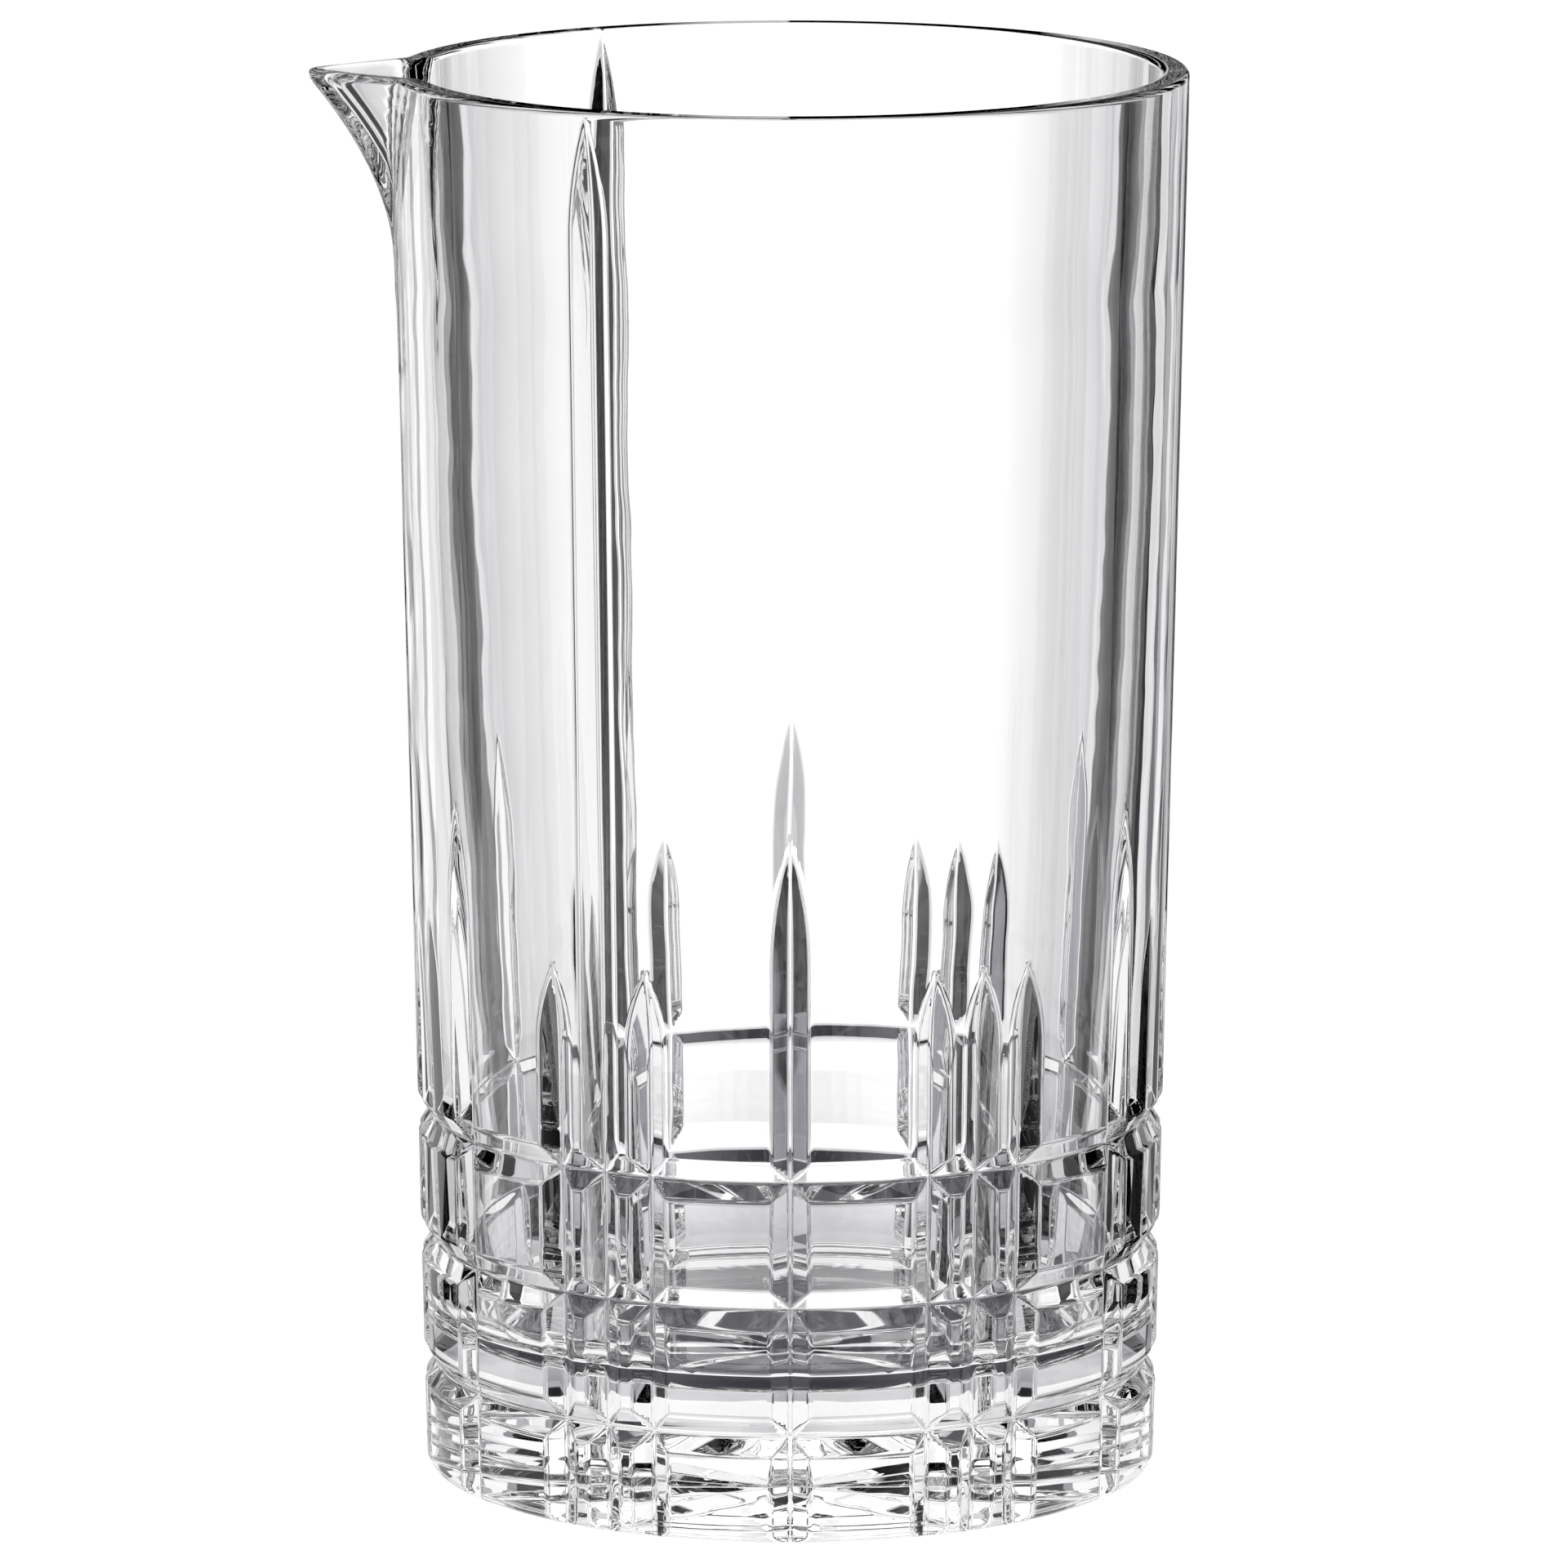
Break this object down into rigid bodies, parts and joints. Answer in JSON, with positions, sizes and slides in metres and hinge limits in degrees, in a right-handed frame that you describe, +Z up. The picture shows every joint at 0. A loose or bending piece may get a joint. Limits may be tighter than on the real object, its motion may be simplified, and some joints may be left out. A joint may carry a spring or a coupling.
{
  "type": "mixing glass",
  "caption": "Tall clear cut-glass mixing vessel with a thick base, upright and ring V cuts, and a pinched pouring lip.",
  "frame": {"origin": "centre of the underside, on the axis of the round foot", "axes": "+Z up the axis to the rim; -X towards the pouring lip; +Y to the right of someone who looks along -X"},
  "size_m": [0.1099, 0.0996, 0.178],
  "materials": {
    "clear_glass": "clear, fire polished, cut and polished grooves"
  },
  "bodies": {
    "root": {"heavy_base": "clear_glass", "glass_wall": "clear_glass", "pouring_lip": "clear_glass"}
  },
  "joints": []
}
